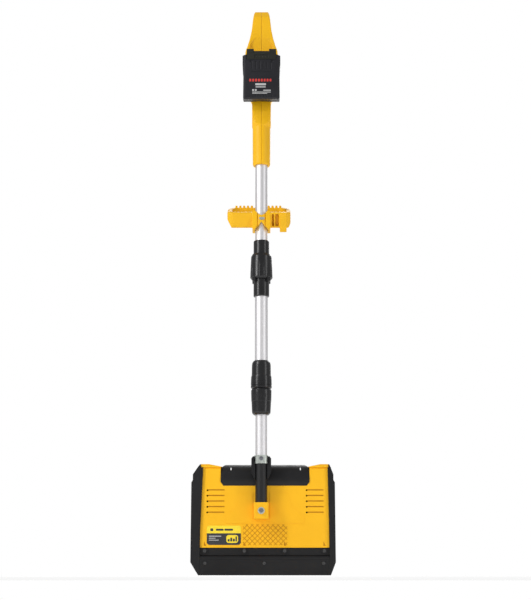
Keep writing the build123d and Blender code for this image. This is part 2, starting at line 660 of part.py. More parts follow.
# ---------------------------------------------------------------- second handle
def aux_ring(inset):
    """Plan of the loop, seen along its own axis; the inner edge is inset by the wall."""
    left, right, far = AUX_LEFT + inset, AUX_RIGHT - inset, AUX_FAR - inset
    near = -6 + (14 if inset else 0)
    return make_face(FilletPolyline(
        (left, near), (right, near), (right, 68), (right - 12, far), (left + 12, far), (left, 68),
        radius=14 - inset / 2, close=True))


def aux_loop():
    """D-shaped loop on a clamp: flat near wall, ribbed right arm and a far bar toothed on top."""
    loop = extrude(aux_ring(0), AUX_TALL) - extrude(aux_ring(10), AUX_TALL)
    loop = chamfer(loop.edges().group_by(Axis.Z)[0] + loop.edges().group_by(Axis.Z)[-1], 2.2)
    tooth = polygon([
        (AUX_FAR - 9, AUX_TALL - 1), (AUX_FAR - 7, AUX_TALL + 5), (AUX_FAR - 3, AUX_TALL + 5),
        (AUX_FAR - 1, AUX_TALL - 1)])
    for x in [-60 + 8.8 * i for i in range(5)] + [14 + 8.8 * i for i in range(4)]:
        loop += prism_x(tooth, x, x + 5)
    for x0, x1 in ((23.5, 28.0), (31.0, 38.5)):
        loop -= block(x0, x1, -7, 4, 4, AUX_TALL - 4)
    loop += block(41, 56, -9, 4, -9, AUX_TALL)
    loop -= prism_y(polygon([(AUX_LEFT - 1, -1), (AUX_LEFT - 1, 20), (AUX_LEFT + 10, -1)]), -10, 120)
    loop -= prism_y(polygon([(AUX_RIGHT + 1, -10), (AUX_RIGHT + 1, 12), (AUX_RIGHT - 9, -10)]), -10, 120)
    loop = Pos(0, 0, AUX_Z - 19) * Rot(AUX_TILT, 0, 0) * loop
    loop += block(-20, 20, -4, 22, AUX_Z - 26, AUX_Z + 16)
    flange = polygon([
        (-19.5, AUX_Z - 27), (-AUX_SLOT - 5, AUX_Z - 27), (-AUX_SLOT, AUX_Z - 20), (-AUX_SLOT, AUX_Z + 11),
        (-AUX_SLOT - 3, AUX_Z + 15), (-19.5, AUX_Z + 15)])
    for side in (-1, 1):
        cheek = prism_y(flange, -19, -3)
        if side > 0:
            cheek = mirror(cheek, Plane.YZ)
        edges = sorted((-18 * side, -13.5 * side))
        loop += cheek - block(*edges, -20, -15, AUX_Z - 22, AUX_Z + 8)
    loop -= rod_z(AUX_Z - 60, AUX_Z + 80, UPPER_R + 1.8)
    loop -= block(-AUX_SLOT, AUX_SLOT, -30, 0, AUX_Z - 60, AUX_Z + 80)
    return on_pole(loop)


def aux_bush():
    """Split liner between the clamp and the tube."""
    bush = tube_z(AUX_Z - 8, AUX_Z + 6, UPPER_R + 1.5, UPPER_R + 0.05)
    return on_pole(bush - block(-1, 1, 0, 20, AUX_Z - 40, AUX_Z + 20))


def aux_strap():
    """Strap across the rear of the tube, waisted in the middle."""
    half = AUX_SLOT - 0.2
    waist = polygon([
        (-half, AUX_Z - 22), (0, AUX_Z - 10), (half, AUX_Z - 22), (half, AUX_Z + 9), (0, AUX_Z + 5),
        (-half, AUX_Z + 9)])
    strap = prism_y(waist, -20, 0) - rod_z(AUX_Z - 60, AUX_Z + 60, UPPER_R + 1.8)
    strap = strap & rod_z(AUX_Z - 60, AUX_Z + 60, UPPER_R + 5.2)
    strap = strap & block(-20, 20, -18.2, 0, AUX_Z - 60, AUX_Z + 60)
    return on_pole(strap - rod_y(1, AUX_Z - 3, -22, 0, 2.1))


def aux_screw():
    """Oval-headed screw in the middle of the strap."""
    x, z, seat = POLE_X + 1, AUX_Z - 3, -18.2
    head = block(x - 3.2, x + 3.2, seat - 2.2, seat, z - 3.0, z + 3.0)
    head += rod_y(x - 3.2, z, seat - 2.2, seat, 3.0) + rod_y(x + 3.2, z, seat - 2.2, seat, 3.0)
    head -= block(x - 4, x + 4, seat - 3, seat - 1.2, z - 0.8, z + 0.8)
    return head + rod_y(x, z, seat - 0.1, -15.9, 2.0)


# ---------------------------------------------------------------- trigger handle
def handle_side(inset):
    """Side view of the handle without its window."""
    i = inset
    return round_y([
        (-20 + i, 1000 + i), (-22 + i, 1024 + i), (-22 + i, 1146 - i), (-12 + i, 1160 - i / 2),
        (-13 + i, 1215), (-6 + i, 1262), (6 + i, HANDLE_TOP - i), (72 - i, HANDLE_TOP - 3 - i),
        (99 - i, 1252 - i), (96 - i, 1200), (66 - i, 1118 + i), (26 - i, 1036), (20 - i, 1000 + i)],
        5.5 if inset == 0 else 3.0)


def window_side(grow):
    """Side view of the finger opening."""
    g = grow
    return round_y([
        (20 - g, 1160 - g), (20 - g, 1240 + g), (30 - g, 1252 + g), (64 + g, 1250 + g), (71 + g, 1236),
        (67 + g, 1200), (50 + g, 1148), (34, 1140 - g)], 6.0)


HANDLE_WIDTHS = (
    (990, 20.2), (1024, 21.3), (1060, 21.3), (1076, 26.5), (1150, 33.0), (1165, 37.5), (1176, 36.5),
    (1186, 32.6), (1206, 26.8),
    (1226, 22.9), (1256, 19.9), (1272, 17.8), (HANDLE_TOP + 1, 15.0))


def handle_front(inset):
    """Rear view of the handle: widest at the battery, slim at the top."""
    right = [(w - inset, z) for z, w in HANDLE_WIDTHS]
    left = [(-x, z) for x, z in reversed(right)]
    return polygon(right + left)


def handle_solid(inset):
    body = prism_x(handle_side(inset), -45, 45) & prism_y(handle_front(inset), -60, 120)
    return body - prism_x(window_side(inset), -50, 50)


def sleeve():
    """Round lower part of the handle, growing into the rounded box under the battery."""
    taper = turned([
        (0, HANDLE_LOW), (18.2, HANDLE_LOW), (19.6, HANDLE_LOW + 3), (19.9, 930), (20.2, SLEEVE_TOP - 8),
        (20.2, SLEEVE_TOP), (0, SLEEVE_TOP)])
    collar = extrude(Pos(0, 0, SLEEVE_TOP - 8) * RectangleRounded(42.6, 42, 9), 32)
    arch = turned([(0, SLEEVE_TOP - 8), (21.2, SLEEVE_TOP - 8), (40, SLEEVE_TOP + 11), (40, 1024), (0, 1024)])
    return taper + (collar & arch)


def handle_body():
    body = handle_solid(0) + sleeve()
    hollow = handle_solid(HANDLE_WALL) & block(-50, 50, -60, 130, 1058, 1300)
    body -= hollow - thumb_scoop(HANDLE_WALL)
    body -= rod_z(HANDLE_LOW - 1, 1058, UPPER_R + 0.05)
    body -= thumb_scoop(0)
    body -= trigger_slot() + lock_button_hole()
    body -= block(-19.4, 19.4, RAIL_Y - 2, -21, RAIL_LOW - 2, 1122)
    for y, z in HANDLE_SCREWS:
        body += rod_x(y, z, -60, 60, 4.8) & handle_solid(0.5)
        body -= rod_x(y, z, -60, 60, 1.55)
        body -= rod_x(y, z, 9, 60, 3.6)
    return body


def thumb_scoop(grow):
    """Arched ramp above the battery latch; grown by the wall, it keeps a wall behind itself."""
    r = 26 + grow
    arch = Pos(0, 1183) * Circle(r) + polygon([(-r, 1140), (r, 1140), (r, 1183), (-r, 1183)])
    ramp = polygon([
        (-40, 1147 - grow), (2 + grow, 1147 - grow), (-13 + grow, 1210 + grow), (-40, 1210 + grow)])
    return prism_y(arch, -40, 10) & prism_x(ramp, -40, 40)


def trigger_slot():
    return block(-6.2, 6.2, 58, 82, 1186, 1236)


def lock_button_hole():
    return rod_x(84, 1225, -60, 0, 6.3)


def handle_half(side):
    body = handle_body()
    keep = block(0.03, 60, -70, 140, 880, 1300) if side > 0 else block(-60, -0.03, -70, 140, 880, 1300)
    return on_pole(body & keep)


def handle_screws():
    return group([on_pole(screw_x(y, z, 9, 1, 18, r_head=3.4, r_shank=1.5)) for y, z in HANDLE_SCREWS])


def trigger():
    """Curved finger lever, hinged near its top."""
    blade = round_y([(60, 1190), (59, 1212), (63, 1232), (78, 1232), (80, 1222), (74, 1190)], 2.5)
    lever = prism_x(blade, -5.9, 5.9)
    return on_pole(lever - rod_x(TRIGGER_PIVOT[0], TRIGGER_PIVOT[1], -8, 8, 1.55))


def trigger_pin():
    return on_pole(rod_x(TRIGGER_PIVOT[0], TRIGGER_PIVOT[1], -12, 12, 1.5))


def trigger_spring():
    """Return spring at its pressed length, between the trigger and the grip's inner wall."""
    return on_pole(rod_y(0, 1216, 82, 93, 2.2) - rod_y(0, 1216, 82, 93, 1.2))


def trigger_switch():
    return on_pole(block(-7, 7, 81, 88, 1192, 1211))


def lock_button():
    """Push button on the left of the grip that frees the trigger."""
    return on_pole(rod_x(84, 1225, -26.5, -11, 6.0) + rod_x(84, 1225, -11.2, -8.2, 3.0))


def battery_rail():
    """T-shaped rail that the battery slides on."""
    rail = block(-19, 19, -28, RAIL_Y, RAIL_LOW, 1118) + block(-24, 24, -32, -28, RAIL_LOW, 1114)
    rail += block(-19, 19, RAIL_Y, -21, RAIL_LOW, 1120)
    return on_pole(rail)


def rail_blades():
    return group([on_pole(block(x - 0.5, x + 0.5, -36.5, -32, 1084, 1108)) for x in (-8, 0, 8)])


# ---------------------------------------------------------------- battery
def battery_outline():
    """Rear view of the battery: side wings below the latch, shoulders cut at the top."""
    right = [
        (36.0, BATTERY_LOW - 2), (40.6, BATTERY_LOW + 5), (40.2, 1098), (42.2, 1112), (42.2, 1133),
        (34, 1133),
        (34, BATTERY_HIGH)]
    return polygon(right + [(-x, z) for x, z in reversed(right)])


def below_battery(lift):
    """Everything under the sloping underside, raised by lift."""
    front = RAIL_Y + 10
    rise = BATTERY_RISE * (front - BATTERY_REAR) / (RAIL_Y - BATTERY_REAR)
    face = polygon([
        (BATTERY_REAR - 5, 1000), (BATTERY_REAR - 5, BATTERY_LOW + 4 + lift),
        (BATTERY_REAR, BATTERY_LOW + 4 + lift),
        (BATTERY_REAR + 3, BATTERY_LOW + 1 + lift), (front, BATTERY_LOW + rise + lift), (front, 1000)])
    return prism_x(face, -60, 60)


def battery_case():
    """Front half: holds the rail channel."""
    case = prism_y(battery_outline(), BATTERY_SPLIT, RAIL_Y - GAP) - below_battery(0)
    case -= block(-19.4, 19.4, -28.4, RAIL_Y + 1, BATTERY_LOW - 5, 1122)
    case -= block(-24.4, 24.4, -32.4, -27.6, BATTERY_LOW - 5, 1118)
    case -= block(-12, 12, -37.2, -32, BATTERY_LOW - 5, 1112)
    case -= block(-36, 36, BATTERY_SPLIT - 1, -41.5, BATTERY_LOW, 1128) - below_battery(BATTERY_WALL)
    return on_pole(case)


def battery_cover():
    """Rear half: the face the operator sees, grooved at the top and ribbed at the bottom."""
    cover = prism_y(battery_outline(), BATTERY_REAR, BATTERY_SPLIT - 0.02)
    flat, bevel = 36.6, 6.5
    plan = polygon([
        (-flat, BATTERY_REAR), (flat, BATTERY_REAR), (flat + bevel, BATTERY_REAR + bevel), (flat + bevel, 0),
        (-flat - bevel, 0), (-flat - bevel, BATTERY_REAR + bevel)])
    cover = cover & extrude(Pos(0, 0, 1000) * plan, 200, dir=(0, 0, 1))
    cover -= below_battery(0)
    inside = block(-37.5, 37.5, BATTERY_REAR + BATTERY_WALL, BATTERY_SPLIT, BATTERY_LOW, 1130)
    cover -= inside - below_battery(BATTERY_WALL)
    cover -= block(-33.6, 33.6, BATTERY_REAR - 1, BATTERY_REAR + 9.5, 1122, 1150)
    cover += block(-33.6, 33.6, BATTERY_REAR + 9.5, BATTERY_REAR + 12, 1120, BATTERY_HIGH)
    for i in range(6):
        x = -20.5 + 8.4 * i
        cover -= block(x - 1.3, x + 1.3, BATTERY_REAR - 1, BATTERY_REAR + 1.2, 1099, 1117.5)
    cover -= block(-23, 23, BATTERY_REAR - 1, BATTERY_REAR + 1.3, 1092.3, 1094.8)
    for i in range(9):
        x = -24 + 6 * i
        cover -= block(x - 1, x + 1, BATTERY_REAR - 1, BATTERY_REAR + 0.9, BATTERY_LOW - 1, BATTERY_LOW + 12)
    for x in (-23.5, 23.5):
        cover -= rod_y(x, 1117.8, BATTERY_REAR - 1, BATTERY_REAR + 2, 2.9)
    return on_pole(cover)


def battery_latch():
    """Wide press latch with two raised shoulders, a hollow between them and spring pockets."""
    y0 = BATTERY_REAR + 1.0
    latch = block(-33.1, 33.1, y0, y0 + 5.5, 1122.6, 1141)
    latch += block(-33.1, -17, y0 - 1.5, y0 + 8, 1139, 1147) + block(17, 33.1, y0 - 1.5, y0 + 8, 1139, 1147)
    latch += block(-17, 17, y0, y0 + 4, 1139, 1142.5)
    latch -= block(-16, 16, y0 - 2, y0 + 1.6, 1126, 1134.5)
    for x in (-11, -3.7, 3.7, 11):
        latch += rod_y(x, 1129, y0 + 0.9, y0 + 2, 1.2)
    for x in LATCH_SPRING_X:
        latch -= rod_y(x, 1130, y0 + 2.2, y0 + 6, 2.8)
    return on_pole(latch)


def latch_springs():
    """Two springs at their pressed length, from the latch's pockets to the wall behind."""
    return group([
        on_pole(rod_y(x, 1130, BATTERY_REAR + 6.0, BATTERY_REAR + 9.45, 2.4)) for x in LATCH_SPRING_X])


def battery_cells():
    """Eight round cells lying across the pack, four high and two deep."""
    return group([
        on_pole(rod_x(y, 1054 + 18.6 * row, -32.5, 32.5, CELL_R))
        for row in range(4)
        for y in (-71.5, -53.0)])


# ---------------------------------------------------------------- writing the files
def save(name, shape):
    export_step(Pos(0, -DEPTH_MIDDLE, 0) * shape, f"parts/{name}.step")


def main():
    os.makedirs("parts", exist_ok=True)
    makers = {
        "left_side_cover": lambda: side_cover(-1), "right_side_cover": lambda: side_cover(1),
        "left_side_plate": lambda: side_plate(-1), "right_side_plate": lambda: side_plate(1),
        "handle_left_shell": lambda: handle_half(-1), "handle_right_shell": lambda: handle_half(1),
    }
    for maker in (
        cover_screws, chamber_wall, rear_shell, motor_cover, scraper_bar, rear_screws,
        rotor_shaft, rotor_core, rotor_paddles, rotor_bearings, rotor_pulley, motor_pulley, drive_belt,
        motor_can, motor_shaft, drive_bearing, motor_mount, controller_box,
        pole_bracket, pole_stub, band_clip, clip_screw, foot_bolt, foot_washer,
        lower_tube, middle_tube, upper_tube, lock_body, lock_nut, lock_collet,
        coupler_spigot, coupler_socket, coupler_nut, contact_plug, contact_socket,
        upper_lead, coiled_lead, aux_loop, aux_bush, aux_strap, aux_screw,
        handle_screws, trigger, trigger_pin, trigger_spring, trigger_switch, lock_button,
        battery_rail, rail_blades, battery_case, battery_cover, battery_latch, latch_springs,
        battery_cells,
    ):
        makers[maker.__name__] = maker
    for name, maker in makers.items():
        save(name, maker())


main()
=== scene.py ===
import bpy
import bmesh
import math
from mathutils import Matrix, Vector


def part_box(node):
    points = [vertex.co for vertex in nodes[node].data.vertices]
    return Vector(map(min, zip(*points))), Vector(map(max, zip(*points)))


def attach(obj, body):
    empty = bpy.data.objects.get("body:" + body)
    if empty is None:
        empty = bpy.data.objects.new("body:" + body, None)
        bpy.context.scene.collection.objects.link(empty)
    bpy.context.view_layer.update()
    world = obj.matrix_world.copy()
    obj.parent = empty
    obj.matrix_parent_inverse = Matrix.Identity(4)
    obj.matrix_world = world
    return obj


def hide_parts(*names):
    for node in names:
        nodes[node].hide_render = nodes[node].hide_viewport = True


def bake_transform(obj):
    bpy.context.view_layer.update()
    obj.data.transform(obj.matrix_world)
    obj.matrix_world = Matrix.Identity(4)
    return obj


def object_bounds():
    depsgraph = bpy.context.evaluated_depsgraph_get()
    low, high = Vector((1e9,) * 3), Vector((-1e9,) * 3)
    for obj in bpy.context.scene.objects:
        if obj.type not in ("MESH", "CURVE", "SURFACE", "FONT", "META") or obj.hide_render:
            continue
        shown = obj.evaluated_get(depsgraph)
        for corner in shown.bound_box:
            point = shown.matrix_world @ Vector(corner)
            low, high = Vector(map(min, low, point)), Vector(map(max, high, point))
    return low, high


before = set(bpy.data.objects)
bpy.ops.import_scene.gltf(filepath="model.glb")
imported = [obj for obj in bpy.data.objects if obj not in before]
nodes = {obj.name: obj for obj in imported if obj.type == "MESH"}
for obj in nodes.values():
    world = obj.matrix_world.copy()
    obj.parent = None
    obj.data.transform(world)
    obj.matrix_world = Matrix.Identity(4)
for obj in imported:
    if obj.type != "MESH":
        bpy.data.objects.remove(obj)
cad_box = [list(corner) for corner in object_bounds()]
MM = 0.001


# ---------------------------------------------------------------- where things are
def middle(node):
    """Centre of a CAD node's box."""
    low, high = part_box(node)
    return (low + high) / 2


pole = middle("lower_tube")              # the pole's axis, in x and y
GROUND = Vector(cad_box[0]).z
SHELL_FACE = 18 * MM                     # the shell's rear face, from the pole's axis


# ---------------------------------------------------------------- camera, floor and light
CAMERA_BACK = 2.6                        # metres from the pole's axis, at floor height
CAMERA_SIDE = 0.0051
CAMERA_TILT = 12.8                       # degrees upwards
CAMERA_SENSOR, CAMERA_LENS = 36.0, 72.72
FLOOR_RADIUS = 12.0
FLOOR_GAP = 0.4 * MM                     # below the lowest point, so that the faces don't coincide
WORLD_LIGHT = 0.42
LIGHTS = (                               # name, place, target, width and height, watts
    ("key", (-1.9, -1.5, 1.9), (0, 0, 0.55), (0.6, 2.2), 40),
    ("fill", (1.9, -1.3, 1.0), (0, 0, 0.5), (0.4, 2.2), 11),
    ("rim", (0.6, 2.4, 2.2), (0, 0, 0.6), (1.6, 1.6), 26),
)


def make_camera():
    """A low camera behind the tool, tilted up."""
    data = bpy.data.cameras.new("photo_camera")
    data.sensor_width = CAMERA_SENSOR
    data.lens = CAMERA_LENS
    camera = bpy.data.objects.new("photo_camera", data)
    bpy.context.scene.collection.objects.link(camera)
    camera.location = (CAMERA_SIDE, pole.y - CAMERA_BACK, GROUND)
    camera.rotation_euler = (math.radians(90 + CAMERA_TILT), 0, 0)
    bpy.context.scene.camera = camera


def make_floor():
    """A wide white disc to stand on."""
    mesh = bpy.data.meshes.new("floor")
    bm = bmesh.new()
    bmesh.ops.create_circle(bm, cap_ends=True, radius=FLOOR_RADIUS, segments=64)
    bm.to_mesh(mesh)
    bm.free()
    floor = bpy.data.objects.new("floor", mesh)
    bpy.context.scene.collection.objects.link(floor)
    floor.location.z = GROUND - FLOOR_GAP
    material = bpy.data.materials.new("floor_paper")
    material.use_nodes = True
    shader = material.node_tree.nodes["Principled BSDF"]
    shader.inputs["Base Color"].default_value = (0.95, 0.95, 0.95, 1)
    shader.inputs["Emission Color"].default_value = (1, 1, 1, 1)
    shader.inputs["Emission Strength"].default_value = 0.3
    shader.inputs["Roughness"].default_value = 0.95
    shader.inputs["Specular IOR Level"].default_value = 0.05
    mesh.materials.append(material)


def area_light(name, place, target, size, power):
    """A rectangular light at place that faces target."""
    data = bpy.data.lights.new(name, "AREA")
    data.shape, data.size, data.size_y = "RECTANGLE", size[0], size[1]
    data.energy = power
    light = bpy.data.objects.new(name, data)
    light.location = place
    light.rotation_euler = (Vector(target) - Vector(place)).to_track_quat("-Z", "Y").to_euler()
    bpy.context.scene.collection.objects.link(light)


def make_light():
    """Three area lights, and a world that is white to the camera and softer as a light."""
    for light in LIGHTS:
        area_light(*light)
    world = bpy.data.worlds.new("studio")
    world.use_nodes = True
    tree = world.node_tree
    tree.nodes.clear()
    out = tree.nodes.new("ShaderNodeOutputWorld")
    mix = tree.nodes.new("ShaderNodeMixShader")
    path = tree.nodes.new("ShaderNodeLightPath")
    seen, lit = tree.nodes.new("ShaderNodeBackground"), tree.nodes.new("ShaderNodeBackground")
    seen.inputs["Color"].default_value, seen.inputs["Strength"].default_value = (1, 1, 1, 1), 1.0
    lit.inputs["Color"].default_value, lit.inputs["Strength"].default_value = (1, 1, 1, 1), WORLD_LIGHT
    tree.links.new(path.outputs["Is Camera Ray"], mix.inputs[0])
    tree.links.new(lit.outputs[0], mix.inputs[1])
    tree.links.new(seen.outputs[0], mix.inputs[2])
    tree.links.new(mix.outputs[0], out.inputs[0])
    bpy.context.scene.world = world
    bpy.context.scene.view_settings.view_transform = "Standard"
    bpy.context.scene.view_settings.look = "None"


# ---------------------------------------------------------------- materials
class Finish:
    """A procedural material that is put together step by step."""

    def __init__(self, name, metallic=0.0, specular=0.5, coat=0.0, anisotropy=0.0):
        self.material = bpy.data.materials.new(name)
        self.material.use_nodes = True
        self.tree = self.material.node_tree
        self.shader = self.tree.nodes["Principled BSDF"]
        self.shader.inputs["Metallic"].default_value = metallic
        self.shader.inputs["Specular IOR Level"].default_value = specular
        self.shader.inputs["Coat Weight"].default_value = coat
        self.shader.inputs["Coat Roughness"].default_value = 0.2
        self.shader.inputs["Anisotropic"].default_value = anisotropy
        self.place = self.tree.nodes.new("ShaderNodeTexCoord").outputs["Object"]
        self.normal = None

    def stretched(self, scale):
        """Object coordinates scaled differently along each axis."""
        mapping = self.tree.nodes.new("ShaderNodeMapping")
        mapping.inputs["Scale"].default_value = scale
        self.tree.links.new(self.place, mapping.inputs["Vector"])
        return mapping.outputs["Vector"]

    def noise(self, scale, detail=3.0, stretch=None):
        """A noise pattern, 0 to 1."""
        node = self.tree.nodes.new("ShaderNodeTexNoise")
        node.inputs["Scale"].default_value = scale
        node.inputs["Detail"].default_value = detail
        self.tree.links.new(self.stretched(stretch) if stretch else self.place, node.inputs["Vector"])
        return node.outputs["Fac"]

    def ramp(self, source, low, high, start=0.3, end=0.7):
        """A colour between low and high that follows source."""
        node = self.tree.nodes.new("ShaderNodeValToRGB")
        first, last = node.color_ramp.elements
        first.position, last.position = start, end
        first.color, last.color = low, high
        self.tree.links.new(source, node.inputs["Fac"])
        return node.outputs["Color"]

    def colour(self, source, low, high, start=0.3, end=0.7):
        """Lets the base colour follow source."""
        tint = self.ramp(source, (*low, 1), (*high, 1), start, end)
        self.tree.links.new(tint, self.shader.inputs["Base Color"])
        return self

    def roughness(self, source, low, high):
        """Lets the roughness follow source."""
        grey = self.ramp(source, (low,) * 3 + (1,), (high,) * 3 + (1,))
        self.tree.links.new(grey, self.shader.inputs["Roughness"])
        return self

    def paint_groove_shade(self, face_y, depth, top_z, shade):
        """Paints shade into grooves cut about depth into the face at face_y, below the height top_z: a darker
        colour where shadow would fall in the recesses.
        """
        split = self.tree.nodes.new("ShaderNodeSeparateXYZ")
        self.tree.links.new(self.place, split.inputs[0])
        groove_shade_mask = self.tree.nodes.new("ShaderNodeMapRange")
        groove_shade_mask.inputs["From Min"].default_value = face_y + depth * 0.2
        groove_shade_mask.inputs["From Max"].default_value = face_y + depth * 0.5
        self.tree.links.new(split.outputs["Y"], groove_shade_mask.inputs["Value"])
        under = self.tree.nodes.new("ShaderNodeMath")
        under.operation = "LESS_THAN"
        under.inputs[1].default_value = top_z
        self.tree.links.new(split.outputs["Z"], under.inputs[0])
        both = self.tree.nodes.new("ShaderNodeMath")
        both.operation = "MULTIPLY"
        self.tree.links.new(groove_shade_mask.outputs["Result"], both.inputs[0])
        self.tree.links.new(under.outputs[0], both.inputs[1])
        # painted shade: blends the base colour towards the darker shade colour inside the grooves
        mix = self.tree.nodes.new("ShaderNodeMix")
        mix.data_type = "RGBA"
        colour_a, colour_b, colour_out = mix.inputs[6], mix.inputs[7], mix.outputs[2]
        base = self.shader.inputs["Base Color"]
        self.tree.links.new(both.outputs[0], mix.inputs["Factor"])
        self.tree.links.new(base.links[0].from_socket, colour_a)
        colour_b.default_value = (*shade, 1)
        self.tree.links.new(colour_out, base)
        return self

    def bump(self, source, depth, strength=1.0):
        """Adds a fine relief on top of those added before."""
        node = self.tree.nodes.new("ShaderNodeBump")
        node.inputs["Distance"].default_value = depth
        node.inputs["Strength"].default_value = strength
        self.tree.links.new(source, node.inputs["Height"])
        if self.normal:
            self.tree.links.new(self.normal, node.inputs["Normal"])
        self.normal = node.outputs["Normal"]
        self.tree.links.new(self.normal, self.shader.inputs["Normal"])
        return self


def moulded(name, low, high, rough=(0.38, 0.5), grain=900.0, depth=0.00006, specular=0.5, coat=0.0):
    """Injection-moulded plastic: faint cloudiness, a fine spark-eroded grain and uneven gloss."""
    finish = Finish(name, specular=specular, coat=coat)
    finish.colour(finish.noise(14.0, 4.0), low, high)
    finish.roughness(finish.noise(60.0, 5.0), *rough)
    finish.bump(finish.noise(grain, 2.0), depth)
    finish.bump(finish.noise(35.0, 2.0), depth * 1.5, 0.4)
    return finish


def drawn_metal(name, low, high, rough=(0.2, 0.34), stretch=(900, 900, 6), anisotropy=0.5, depth=0.00001):
    """Drawn or brushed metal with fine lines along one way."""
    finish = Finish(name, metallic=1.0, anisotropy=anisotropy)
    finish.colour(finish.noise(1.0, 5.0, stretch), low, high)
    finish.roughness(finish.noise(1.0, 4.0, stretch), *rough)
    finish.bump(finish.noise(1.0, 3.0, stretch), depth)
    return finish


def plated(name, low, high, rough=(0.25, 0.45)):
    """Zinc plating: small crystals of slightly different brightness."""
    finish = Finish(name, metallic=1.0)
    crystals = finish.tree.nodes.new("ShaderNodeTexVoronoi")
    crystals.inputs["Scale"].default_value = 700.0
    finish.tree.links.new(finish.place, crystals.inputs["Vector"])
    finish.colour(crystals.outputs["Distance"], low, high, 0.1, 0.8)
    finish.roughness(finish.noise(220.0, 4.0), *rough)
    finish.bump(finish.noise(500.0, 3.0), 0.00002)
    return finish


def rubber(name, low=(0.012, 0.012, 0.012), high=(0.022, 0.022, 0.021)):
    """Matt rubber with a dusty, uneven surface."""
    finish = Finish(name, specular=0.3)
    finish.colour(finish.noise(22.0, 5.0), low, high)
    finish.roughness(finish.noise(90.0, 4.0), 0.62, 0.82)
    finish.bump(finish.noise(650.0, 4.0), 0.00012)
    return finish


GROOVE_DEPTH = 1.0 * MM
GROOVES_BELOW = 200 * MM                 # all slots and the lattice lie lower than this


def shell_yellow():
    """The shell's satin yellow, with painted shade (a darker yellow) in the moulded slots and lattice of its
    rear face.
    """
    finish = moulded(
        "moulded_yellow", (0.96, 0.50, 0.008), (1.0, 0.53, 0.010), (0.38, 0.5), specular=0.3)
    # painted shade: a darker yellow in the lattice grooves and louvre slots, where shadow would fall
    return finish.paint_groove_shade(pole.y + SHELL_FACE, GROOVE_DEPTH, GROOVES_BELOW, (0.66, 0.31, 0.004))


def make_finishes():
    """Every material by its short name."""
    lines_up, lines_across = (900, 900, 6), (6, 900, 900)
    return {
        "yellow": shell_yellow(),
        "handle_yellow": moulded(
            "handle_yellow", (0.84, 0.455, 0.005), (0.90, 0.49, 0.008), (0.4, 0.52), 1200.0,
            specular=0.3),
        "black": moulded(
            "moulded_black", (0.0065, 0.0065, 0.0075), (0.011, 0.011, 0.012), (0.38, 0.5), 800.0, 0.0001,
            0.3),
        "gloss_black": moulded(
            "gloss_black", (0.005, 0.005, 0.006), (0.008, 0.008, 0.009), (0.24, 0.32), 1100.0, 0.00001),
        "battery": moulded(
            "battery_black", (0.010, 0.010, 0.013), (0.015, 0.015, 0.019), (0.42, 0.55), 950.0, 0.00009, 0.3),
        "latch": moulded(
            "latch_olive", (0.013, 0.014, 0.010), (0.019, 0.020, 0.014), (0.4, 0.52), 900.0, 0.00008, 0.3),
        "aluminium": drawn_metal(
            "satin_aluminium", (0.74, 0.73, 0.745), (0.83, 0.82, 0.835), (0.46, 0.56), lines_up, 0.0),
        "powder": moulded(
            "powder_coat", (0.006, 0.006, 0.007), (0.010, 0.010, 0.011), (0.36, 0.5), 1800.0, 0.00015, 0.4),
        "zinc": plated("zinc_plate", (0.58, 0.63, 0.58), (0.76, 0.81, 0.76)),
        "oxide": plated("black_oxide", (0.07, 0.07, 0.072), (0.12, 0.12, 0.122), (0.26, 0.36)),
        "steel": drawn_metal(
            "turned_steel", (0.48, 0.48, 0.49), (0.62, 0.62, 0.63), (0.22, 0.36), lines_across),
        "bolt": drawn_metal(
            "bolt_steel", (0.27, 0.28, 0.31), (0.4, 0.41, 0.44), (0.18, 0.3), lines_across, 0.0),
        "spring": drawn_metal(
            "spring_wire", (0.5, 0.5, 0.5), (0.66, 0.66, 0.66), (0.2, 0.32), (300, 300, 300), 0.0),
        "rubber": rubber("moulded_rubber"),
        "seal": rubber("bearing_seal", (0.02, 0.02, 0.021), (0.03, 0.03, 0.031)),
        "jacket": rubber("cable_jacket", (0.014, 0.014, 0.014), (0.019, 0.019, 0.019)),
        "copper": drawn_metal(
            "tinned_brass", (0.72, 0.46, 0.2), (0.82, 0.56, 0.28), (0.2, 0.35), lines_across),
        "wrap": moulded(
            "cell_wrap", (0.03, 0.16, 0.42), (0.045, 0.2, 0.48), (0.2, 0.3), 300.0, 0.00002, 0.5, 0.3),
        "nylon": moulded("grey_nylon", (0.10, 0.10, 0.105), (0.13, 0.13, 0.135), (0.45, 0.6), 700.0),
        "print_red": moulded(
            "printed_red", (0.52, 0.028, 0.025), (0.6, 0.04, 0.034), (0.4, 0.5), 600.0, 0.00001),
        "print_white": moulded(
            "printed_white", (0.42, 0.42, 0.42), (0.5, 0.5, 0.5), (0.4, 0.5), 600.0, 0.00001),
        "label_lemon": moulded(
            "label_lemon", (0.94, 0.72, 0.03), (1.0, 0.77, 0.04), (0.22, 0.3), 400.0, 0.00001),
        "label_dark": moulded(
            "label_dark", (0.03, 0.032, 0.036), (0.04, 0.042, 0.046), (0.22, 0.3), 400.0, 0.00001),
    }


